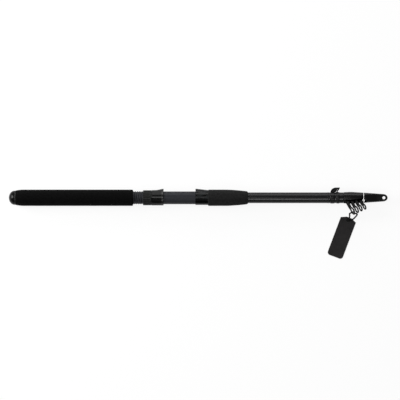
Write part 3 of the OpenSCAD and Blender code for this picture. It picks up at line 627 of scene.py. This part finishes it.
def wound(start, end, low, high, ramp):
    """A band of thread turns between two stations, rising from its ends over a ramp."""
    outline = [(start, grip_bore)]
    for x in steps_between(start, end, thread_pitch / 4):
        rise = min(1, (x - start) / ramp, (end - x) / ramp)
        ridge = thread_relief * (abs(math.sin(math.pi * (x - start) / thread_pitch)) - 1)
        outline.append((x, low + (high - low) * math.sin(math.pi / 2 * rise) + ridge))
    shape = turned(outline + [(end, grip_bore)])
    for vert in shape.verts:
        reach = reach_of(vert)
        if reach > grip_bore + 0.1:
            rise = lump * (noise.noise(vert.co * lump_waves) - 0.35) * (high - low)
            set_reach(vert, reach, reach + rise)
    return shape


thread_finish, tree, shader, place = new_finish("thread_in_resin", Specular_IOR_Level=0.2, Coat_Weight=0.06,
                                                Coat_Roughness=0.12)
turns = node(tree, "TexWave", Vector=place, Scale=1 / (2 * thread_pitch * mm), Distortion=0.4,
             bands_direction="X").outputs["Fac"]
shades(tree, shader, turns, 0.0012, 0.005, 0.2, 0.9)
shades(tree, shader, mottle(tree, place, 330.0, 3.0), 0.2, 0.45, socket="Roughness")
roughen(tree, shader, turns, 0.25, 0.08)
trim_shape = wound(trim_start, trim_end, trim_low, trim_r, trim_ramp)
make_piece("tube_trim_thread", trim_shape, thread_finish, "handle", ["tube_trim_ring"])
whipping_shape = wound(*humps[0], hump_end, hump_r, run_up)


def moved(shape, place):
    """Moves a whole shape to its place."""
    bmesh.ops.transform(shape, matrix=place, verts=shape.verts)
    return shape


def add(shape, other, place=Matrix()):
    """Adds another shape to a shape, moved to its place."""
    carrier = bpy.data.meshes.new("carrier")
    moved(other, place).to_mesh(carrier)
    other.free()
    shape.from_mesh(carrier)
    bpy.data.meshes.remove(carrier)


add(whipping_shape, wound(*humps[1], hump_end, hump_r, run_up))
make_piece("guide_1_thread", whipping_shape, thread_finish, "handle", ["guide_1_whipping"])

# Guides: blackened steel holders that lean towards the tip, each with a ceramic ring pressed in. The first
# and the tip's stand on bent wire, and the first has cheeks and a foot under the whipping. The sliding
# sections carry theirs on a collar at the end, on two stamped legs.
ring_lean, leg_lean = math.radians(32), math.radians(25)
holder_w, holder_t = 0.9, 1.8
plate_t, plate_foot, plate_head = 1.2, 6.4, 4.0
leg_share, collar_w, collar_len = 0.2, 1.0, 7.5
small_ceramic, slide_ceramic = (1.1, 2.4), (1.4, 3.0)
leg_sunk, steel_edge, glaze_edge = 0.4, 0.3, 0.42
ring_steps = 64
steel_finish = metal_finish("guide_black_steel", 0.004, 0.012, 0.28, 0.44, (1, 1, 1))
ceramic_finish = plastic_finish("ring_ceramic", 0.003, 0.006, 0.08, 0.16, 0.25, grain=1600.0, relief=0.01)


def wire(shape, path, radii, sides=12):
    """Adds a round wire to a shape along points in millimetres, with its radius at each end."""
    loops = []
    last = len(path) - 1
    for i, point in enumerate(path):
        ahead = path[min(i + 1, last)] - path[max(i - 1, 0)]
        stand = Matrix.Translation(point * mm) @ ahead.to_track_quat("Z", "Y").to_matrix().to_4x4()
        made = bmesh.ops.create_circle(shape, cap_ends=i in (0, last), segments=sides, matrix=stand,
                                       radius=(radii[0] + (radii[1] - radii[0]) * i / last) * mm)
        loops.append(list({e for v in made["verts"] for e in v.link_edges}))
    for near, far in zip(loops, loops[1:]):
        bmesh.ops.bridge_loops(shape, edges=near + far)
    bmesh.ops.recalc_face_normals(shape, faces=shape.faces)


def bowed(start, end, bow, count=6):
    """Points from start to end, bowed by a vector in between."""
    return [start.lerp(end, i / count) + bow * math.sin(math.pi * i / count) for i in range(count + 1)]


def thickened(shape, rise):
    """Makes a flat shape a slab, by a rise in Z."""
    raised = bmesh.ops.extrude_face_region(shape, geom=shape.faces[:])["geom"]
    verts = [item for item in raised if isinstance(item, bmesh.types.BMVert)]
    bmesh.ops.translate(shape, verts=verts, vec=(0, 0, rise))
    return shape


def guide(base_x, base_r, ring_r, reach, leg_half, ceramic, wire_r=0):
    """Ring holder with its legs, ceramic ring and the ring's place, standing towards +Y on a base."""
    half = holder_t / 2
    ring_h = reach - ring_r * math.cos(ring_lean) - half * math.sin(ring_lean)
    middle = Vector((base_x + (ring_h - base_r) * math.tan(leg_lean), ring_h, 0))
    stand = Matrix.Translation(middle * mm) @ Matrix.Rotation(-ring_lean, 4, "Z")
    bore = ring_r - holder_w
    holder = turned([(-half, bore), (-half, ring_r), (half, ring_r), (half, bore)], ring_steps)
    steel = moved(ease(holder, steel_edge), stand)
    mid = ring_r - holder_w / 2
    drop = math.sqrt(mid ** 2 - leg_half ** 2)
    up = Vector((math.sin(ring_lean), math.cos(ring_lean), 0))
    for side in (-1, 1):
        foot = Vector((base_x, math.sqrt(base_r ** 2 - leg_half ** 2) - leg_sunk, side * leg_half))
        head = middle - drop * up + Vector((0, 0, side * leg_half))
        if wire_r:
            bow = Vector((-0.03, 0.0, 0.02 * side)) * (head - foot).length
            wire(steel, bowed(foot, head, bow), (wire_r * 1.1, wire_r * 0.9))
            continue
        plate = bmesh.new()
        plate.faces.new([plate.verts.new((end.x + share * width, end.y, end.z - plate_t / 2))
                         for end, width, share in ((foot, plate_foot, -0.5), (foot, plate_foot, 0.5),
                                                   (head, plate_head, 0.5), (head, plate_head, -0.5))])
        add(steel, ease(moved(thickened(plate, plate_t), Matrix.Scale(mm, 4)), steel_edge, 2))
    outer = bore - glue
    inner, half = outer - ceramic[0], ceramic[1] / 2
    glaze = turned([(-half, inner), (-half, outer), (half, outer), (half, inner)], ring_steps)
    return steel, moved(ease(glaze, glaze_edge, 4), stand), stand


foot_start, foot_end, foot_t, foot_half = 302.0, 316.5, 0.7, 3.1
leg_place, crown_place = 0.92, 0.76
toe_width, toe_spread, toe_drop, toe_run = 0.35, 2.6, 0.45, 5
foot_len = foot_end - foot_start
foot_top = grip_bore + foot_t
butt_ring_r, butt_ring_reach, butt_base_x = 5.0, 21.0, foot_start + leg_place * foot_len
butt_wire_r, butt_leg_half = 1.0, 2 * leg_share * butt_ring_r
steel, glaze, stand = guide(butt_base_x, foot_top, butt_ring_r, butt_ring_reach, butt_leg_half, small_ceramic,
                            butt_wire_r)
foot_shape = bmesh.new()
bmesh.ops.create_grid(foot_shape, x_segments=10, y_segments=8, size=0.5)
for vert in foot_shape.verts:
    along, across = vert.co.x + 0.5, vert.co.y * 2
    from_end = min(along, 1 - along)
    width = foot_half * min(1, toe_width + toe_spread * from_end)
    turn = across * width / foot_top
    toe = foot_top - toe_drop * max(0, 1 - toe_run * from_end)
    vert.co = Vector((foot_start + foot_len * along, toe * math.cos(turn), toe * math.sin(turn))) * mm
bmesh.ops.recalc_face_normals(foot_shape, faces=foot_shape.faces)
bmesh.ops.solidify(foot_shape, geom=foot_shape.faces, thickness=(foot_t - 0.1) * mm)
add(steel, foot_shape)

cheek_t, cheek_splay, cheek_in, cheek_round = 1.0, math.radians(12), 0.25, 0.25
crown_x = foot_start + crown_place * foot_len
beside_ring = [(0, 5.0), (0, 2.9), (-1.5, 2.1), (-1.5, -3.6), (-1.8, -6.4)]
front = [(stand @ Vector((axial * mm, height * mm, 0))) / mm for axial, height in beside_ring]
crown_len, crown_h = crown_x - foot_start, front[0].y - grip_bore
cheek_edge = oval(crown_x, 0, -crown_len, crown_h, range(86, 0, -6))
cheek_edge += [(point.x, point.y - grip_bore) for point in front]
for side in (-1, 1):
    cheek = bmesh.new()
    cheek.faces.new([cheek.verts.new((x * mm, y * mm, 0)) for x, y in cheek_edge])
    ease(thickened(cheek, -side * cheek_t * mm), cheek_round, 2)
    add(steel, cheek, Matrix.Translation((0, grip_bore * mm, side * (foot_half - cheek_in) * mm))
        @ Matrix.Rotation(side * cheek_splay, 4, "X"))
make_piece("guide_1_wire", steel, steel_finish, "handle", ["guide_1_frame"])
make_piece("guide_1_ceramic", glaze, ceramic_finish, "handle", ["guide_1_ring"])

big_ring_r, ring_step, big_reach, reach_step, first_roll, roll_step = 8.8, 0.75, 41.0, 3.0, 142, -3
tip_ring_r, tip_reach, tip_leg_half, tip_wire_r, tip_roll = 2.8, 6.6, 0.9, 0.6, 180
collar_rear, collar_front, collar_edge, collar_steps = (1.4, 0.35), (0.9, 0.3), 0.2, 80
for step, (end_x, end_r) in enumerate(zip(section_ends, section_tips)):
    number = step + 2
    collar_r = end_r + section_slope * collar_len + glue + collar_w
    base = end_x - collar_len / 2, collar_r
    if number == tip_number:
        name, roll = "tip_top", tip_roll
        steel, glaze, _ = guide(*base, tip_ring_r, tip_reach, tip_leg_half, small_ceramic, tip_wire_r)
    else:
        name, roll = f"guide_{number}", first_roll + step * roll_step
        ring_r, ring_reach = big_ring_r - step * ring_step, big_reach - step * reach_step
        steel, glaze, _ = guide(*base, ring_r, ring_reach, 2 * leg_share * ring_r, slide_ceramic)
    bore = collar_r - collar_w
    start_x = end_x - collar_len
    collar = turned([(start_x, bore), (start_x, collar_r - collar_rear[1]),
                     (start_x + collar_rear[0], collar_r), (end_x - collar_front[0], collar_r),
                     (end_x, collar_r - collar_front[1]), (end_x, bore)], collar_steps)
    add(steel, ease(collar, collar_edge, 2))
    for shape in (steel, glaze):
        moved(shape, Matrix.Rotation(math.radians(roll), 4, "X"))
    make_piece(name + "_wire", steel, steel_finish, f"section_{number}", [name + "_frame"])
    make_piece(name + "_ceramic", glaze, ceramic_finish, f"section_{number}", [name + "_ring"])

# Tip cover: a moulded polyethylene cap that slips over the nested tips. It flattens into a tab with a
# hanging hole, and its side is slotted so that the guides stand out.
cover_start, cover_end, cover_wall = 328.3, 416.3, 1.4
cover_swell, cover_mouth_r, cover_r, cover_end_r = 15.0, 11.1, 11.75, 7.5
cover_nose, cover_curve = 9.4, 1.1
cover_nose_x = cover_end - cover_nose
flat_start, flat_end, tab_half = 354.7, 393.8, 3.5
cavity_end = 387.8
slot_end, slot_half, slot_roll = 374.3, 6.0, math.radians(137.5)
slot_depth, slot_spare, slot_corner = 30.0, 4.0, 2.0
hang_x, hang_r = 408.7, 3.0
flat_fillet = 0.6


def cover_reach(x):
    """Round radius of the cover's outside at a station."""
    run = x - cover_start
    if run < cover_swell:
        return cover_mouth_r + (cover_r - cover_mouth_r) * math.sin(math.pi / 2 * run / cover_swell)
    share = (min(x, cover_nose_x) - cover_start - cover_swell) / (cover_nose_x - cover_start - cover_swell)
    side = cover_r - (cover_r - cover_end_r) * share ** cover_curve
    return side * math.sqrt(max(0, 1 - max(0, (x - cover_nose_x) / cover_nose) ** 2))


def flat_reach(x, lean, wall=0.0):
    """Distance from the axis to the cover's flat sides, in a direction that leans towards Z."""
    share = min(1, max(0, (x - flat_start) / (flat_end - flat_start)))
    return (cover_r + (tab_half - cover_r) * share - wall) / max(1e-4, abs(lean))


def flattened(shape):
    """Presses the turned shape of the cover flat towards its tab; inside faces keep the wall."""
    for vert in shape.verts:
        x, reach = vert.co.x / mm, reach_of(vert)
        if reach < 1e-4:
            continue
        inside = x <= cavity_end and reach < cover_reach(x) - cover_wall / 2
        limit = flat_reach(x, vert.co.z / mm / reach, cover_wall if inside else 0)
        set_reach(vert, reach, (reach + limit - math.hypot(reach - limit, flat_fillet)) / 2)
    return shape


def cut_away(shape, tool):
    """Cuts one closed shape out of another."""
    pair = []
    for part in (shape, tool):
        mesh = bpy.data.meshes.new("cut")
        part.to_mesh(mesh)
        part.free()
        pair.append(bpy.data.objects.new("cut", mesh))
        scene.collection.objects.link(pair[-1])
    cut = pair[0].modifiers.new("cut", "BOOLEAN")
    cut.operation, cut.solver, cut.object = "DIFFERENCE", "EXACT", pair[1]
    left = bpy.data.meshes.new_from_object(pair[0].evaluated_get(bpy.context.evaluated_depsgraph_get()))
    result = bmesh.new()
    result.from_mesh(left)
    for part in pair:
        mesh = part.data
        bpy.data.objects.remove(part)
        bpy.data.meshes.remove(mesh)
    bpy.data.meshes.remove(left)
    return result


cover_outline = [(cavity_end, 0)]
cover_outline += [(x, cover_reach(x) - cover_wall) for x in steps_between(cavity_end, cover_start, 2)]
cover_outline += [(x, cover_reach(x)) for x in steps_between(cover_start, cover_nose_x, 1.6)]
cover_outline += oval(cover_nose_x, 0, cover_nose, cover_end_r, range(6, 91, 6))
cover_shape = flattened(turned(cover_outline, fine_steps, closed=False))
slot_tool = bmesh.new()
slot_len = slot_end - cover_start + slot_spare
slot_size = slot_len * mm, slot_depth * mm, 2 * slot_half * mm, 1
bmesh.ops.create_cube(slot_tool, size=1, matrix=Matrix.Diagonal(slot_size))
tool_end = [e for e in slot_tool.edges if all(v.co.x > 0 for v in e.verts)
            and abs(e.verts[0].co.y - e.verts[1].co.y) > 1e-4]
bmesh.ops.bevel(slot_tool, geom=tool_end, offset=slot_corner * mm, offset_type="OFFSET", segments=5,
                profile=0.5, affect="EDGES", material=-1)
slot_middle = Vector((slot_end - slot_len / 2, slot_depth / 2, 0)) * mm
cover_shape = cut_away(cover_shape, moved(slot_tool, Matrix.Rotation(slot_roll, 4, "X")
                                          @ Matrix.Translation(slot_middle)))
hang_tool = bmesh.new()
bmesh.ops.create_cone(hang_tool, cap_ends=True, segments=48, radius1=hang_r * mm, radius2=hang_r * mm,
                      depth=4 * tab_half * mm, matrix=Matrix.Translation((hang_x * mm, 0, 0)))
cover_shape = cut_away(cover_shape, hang_tool)
cover_finish = plastic_finish("cover_black", 0.003, 0.0055, 0.2, 0.3, 0.2, grain=420.0)
make_piece("tip_cover_moulding", cover_shape, cover_finish, "cover", ["tip_cover"], sharp=40)

# Cover tie: pale nylon line drawn tight round the cover and knotted on its near side, with one end left
# long over the guides. Its pale colour is partly the nylon's own and partly a painted highlight along it.
tie_x, tie_r, tie_turn, tie_steps = 368.2, 0.5, math.radians(118), 96
tie_knot_size, tie_knot_r, tie_knot_off = 0.7, 0.6, 1.6
tie_tail, tail_bow, tail_radii = Vector((-1.6, -12.5, -4.0)), Vector((0.6, 0.0, 1.6)), (0.4, 0.3)
# Painted highlight: the line is coloured near white all along, partly standing for the shine on the nylon.
tie_painted_highlight = speckled_finish("tie_nylon_painted_highlight", 900.0, 2.0, (0.86, 0.86, 0.84), (0.95, 0.95, 0.94), 0.12, 0.25,
                             Specular_IOR_Level=0.6)


def on_cover(x, turn, off):
    """A point off the cover's flattened outside, its angle measured from +Y over the top."""
    reach = min(cover_reach(x), flat_reach(x, math.sin(turn))) + off
    return Vector((x, reach * math.cos(turn), reach * math.sin(turn)))


def knot_path(middle, size, height, count=48):
    """A pulled-up overhand knot as a closed path, flat on top of what it ties."""
    turns = [math.tau * i / count for i in range(count)]
    return [middle + Vector((size * (math.sin(t) + 2 * math.sin(2 * t)),
                             size * (math.cos(t) - 2 * math.cos(2 * t)), -height * math.sin(3 * t)))
            for t in turns]


tie_shape = bmesh.new()
loop = [on_cover(tie_x, tie_turn + math.tau * i / tie_steps, tie_r + glue) for i in range(tie_steps + 1)]
wire(tie_shape, loop, (tie_r, tie_r))
tie_knot = on_cover(tie_x, tie_turn, tie_knot_off)
wire(tie_shape, knot_path(tie_knot, tie_knot_size, tie_knot_size), (tie_knot_r, tie_knot_r))
wire(tie_shape, bowed(tie_knot, tie_knot + tie_tail, tail_bow), tail_radii)
make_piece("cover_tie_line", tie_shape, tie_painted_highlight, "cover", ["cover_tie"])

# Hang tag: a die-cut card, laminated black, with an eyelet pressed into its top. It lies on the table and
# curls a little at its lower corners; the cut edge shows the grey board inside.
tag_x, tag_y, tag_turn = 339.8, -39.6, math.radians(20.6)
tag_w, tag_len, tag_t, tag_corner = 32.4, 84.0, 0.6, 6.0
tag_clip_w, tag_clip_h = 11.0, 5.0
tag_hole, tag_hole_r = Vector((0, -5.0, 0)), 2.7
tag_curl, curl_start, curl_middle = 0.9, 0.6, 0.35
tag_place = Matrix.Translation((tag_x * mm, tag_y * mm, floor_z)) @ Matrix.Rotation(-tag_turn, 4, "Z")
tag_shape = bmesh.new()
bmesh.ops.create_grid(tag_shape, x_segments=22, y_segments=50, size=0.5)
for vert in tag_shape.verts:
    vert.co.x, vert.co.y = vert.co.x * tag_w, (vert.co.y - 0.5) * tag_len
    vert.co.x *= 1 - 2 * tag_clip_w / tag_w * max(0, 1 + vert.co.y / tag_clip_h)
    out_x = abs(vert.co.x) - (tag_w / 2 - tag_corner)
    out_y = tag_corner - tag_len - vert.co.y
    if out_x > 0 and out_y > 0:
        pull = max(out_x, out_y) / math.hypot(out_x, out_y)
        vert.co.x -= math.copysign(out_x * (1 - pull), vert.co.x)
        vert.co.y += out_y * (1 - pull)
near_hole = [f for f in tag_shape.faces if (f.calc_center_median() - tag_hole).length < tag_hole_r + 1]
bmesh.ops.delete(tag_shape, geom=near_hole, context="FACES")
ragged = [e for e in tag_shape.edges if e.is_boundary
          and (e.verts[0].co - tag_hole).length < 3 * tag_hole_r
          and e.verts[0].co.y < -0.1 and e.verts[1].co.y < -0.1]
made = bmesh.ops.create_circle(tag_shape, cap_ends=False, segments=len(ragged), radius=tag_hole_r,
                               matrix=Matrix.Translation(tag_hole))
bmesh.ops.bridge_loops(tag_shape, edges=ragged + list({e for v in made["verts"] for e in v.link_edges}))
thickened(tag_shape, tag_t)
for vert in tag_shape.verts:
    low = max(0, (-vert.co.y / tag_len - curl_start) / (1 - curl_start))
    vert.co.z += tag_curl * low ** 2 * (curl_middle + (1 - curl_middle) * (2 * vert.co.x / tag_w) ** 2)
moved(tag_shape, tag_place @ Matrix.Scale(mm, 4))
bmesh.ops.recalc_face_normals(tag_shape, faces=tag_shape.faces)
card_finish, tree, shader, place = new_finish("card_laminate", Specular_IOR_Level=0.2)
fibre = mottle(tree, place, 1100.0, 4.0)
scuff = mottle(tree, place, 60.0, 6.0, Roughness=0.7)
shades(tree, shader, scuff, (0.006, 0.0053, 0.0055), (0.017, 0.0152, 0.0156))
shades(tree, shader, fibre, 0.42, 0.58, socket="Roughness")
roughen(tree, shader, fibre, 0.15, 0.06)
tag = make_piece("hang_tag_card", tag_shape, card_finish, "section_2", ["hang_tag"])
tag.data.materials.append(speckled_finish("card_core", 2200.0, 3.0, (0.05, 0.047, 0.045), (0.12, 0.115, 0.11),
                                          0.8, 0.95, Specular_IOR_Level=0.2))
for face in tag.data.polygons:
    face.material_index = int(abs(face.normal.z) < 0.5)

eyelet_bore, eyelet_wall, eyelet_flange, eyelet_slope, eyelet_edge = 2.3, 0.35, 4.1, 0.3, 0.1
eyelet_r, eyelet_top = eyelet_bore + eyelet_wall, tag_t + eyelet_wall
eyelet_shape = turned([(0, eyelet_bore), (0, eyelet_r), (tag_t, eyelet_r), (tag_t, eyelet_flange),
                       (eyelet_top, eyelet_flange - eyelet_slope), (eyelet_top, eyelet_bore)], ring_steps)
upright = Matrix.Rotation(-math.pi / 2, 4, "Y")
moved(ease(eyelet_shape, eyelet_edge, 2), tag_place @ Matrix.Translation(tag_hole * mm) @ upright)
make_piece("tag_eyelet_rivet", eyelet_shape, steel_finish, "section_2", ["tag_eyelet"])

# Tag cord: a limp black cord of three twisted strands. It runs from the knot over the eyelet, up through
# the first sliding guide's ring and back into the knot.
cord_r, strand_r, lay_length = 1.6, 0.85, 9.0
cord_steps = [(-0.2, -43.2, 3.35), (0.9, -41, 4.05), (1.8, -38.2, 6.65), (1.9, -35.8, 11.05),
              (1.7, -33.9, 16.85), (1.5, -32.5, 23.25), (1.8, -31.6, 28.85), (2.7, -30.7, 32.4),
              (4.8, -29.8, 33.9), (7.2, -28.7, 33.3), (9.2, -28.3, 31.6), (10.1, -29.3, 28.6),
              (11.1, -30.6, 25.6), (13.1, -31.5, 22.4), (15.4, -31.9, 19.2), (16.7, -33, 15.4),
              (16.1, -35.2, 11.4), (14.4, -37.4, 7.9), (12.4, -39.6, 5.2), (9.9, -42, 3.3),
              (6.5, -44, 2.5), (3.1, -44.9, 2.5), (0.3, -44.6, 3.2)]
route = [Vector((first_end + x, y, z + floor_z / mm)) for x, y, z in cord_steps]
guide_line = bpy.data.curves.new("cord_route", "CURVE")
guide_line.dimensions = "3D"
guide_line.resolution_u = 8
spline = guide_line.splines.new("BEZIER")
spline.bezier_points.add(len(route) - 1)
for knob, point in zip(spline.bezier_points, route):
    knob.co = point
    knob.handle_left_type = knob.handle_right_type = "AUTO"
drawn = bpy.data.objects.new("cord_route", guide_line)
scene.collection.objects.link(drawn)
bpy.context.view_layer.update()
line_mesh = bpy.data.meshes.new_from_object(drawn)
cord_line = [vert.co.copy() for vert in line_mesh.vertices]
bpy.data.meshes.remove(line_mesh)
bpy.data.objects.remove(drawn)
bpy.data.curves.remove(guide_line)


def twisted(path):
    """Three strands laid up round a path of points in millimetres."""
    shape = bmesh.new()
    strands = ([], [], [])
    side = (path[1] - path[0]).orthogonal().normalized()
    ahead = (path[1] - path[0]).normalized()
    run = 0.0
    for i, point in enumerate(path):
        tangent = (path[min(i + 1, len(path) - 1)] - path[max(i - 1, 0)]).normalized()
        side = ahead.rotation_difference(tangent) @ side
        ahead = tangent
        run += (point - path[i - 1]).length if i else 0
        for k, strand in enumerate(strands):
            turn = math.tau * (run / lay_length + k / 3)
            off = math.cos(turn) * side + math.sin(turn) * ahead.cross(side)
            strand.append(point + (cord_r - strand_r) * off)
    for strand in strands:
        wire(shape, strand, (strand_r, strand_r), sides=10)
    return shape


cord_finish = speckled_finish("cord_black", 2600.0, 3.0, (0.0035, 0.0032, 0.0034), (0.0105, 0.0095, 0.01),
                              0.7, 0.9, (0.4, 0.12), Specular_IOR_Level=0.1, Sheen_Weight=0.03,
                              Sheen_Roughness=0.5)
knot_middle, knot_size, knot_height = Vector((338.04, -44.28, -12.6)), 0.66, 1.2
knot_turns = knot_path(knot_middle, knot_size, knot_height)
knot = make_piece("tag_knot_turns", twisted(knot_turns[2:] + knot_turns[:1]), cord_finish, "section_2",
                  ["tag_knot"])
cord = make_piece("tag_cord_twist", twisted(cord_line), cord_finish, "section_2", ["tag_cord"])

size = {"cad": [list(corner) for corner in cad_box], "visual": [list(corner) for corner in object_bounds()]}
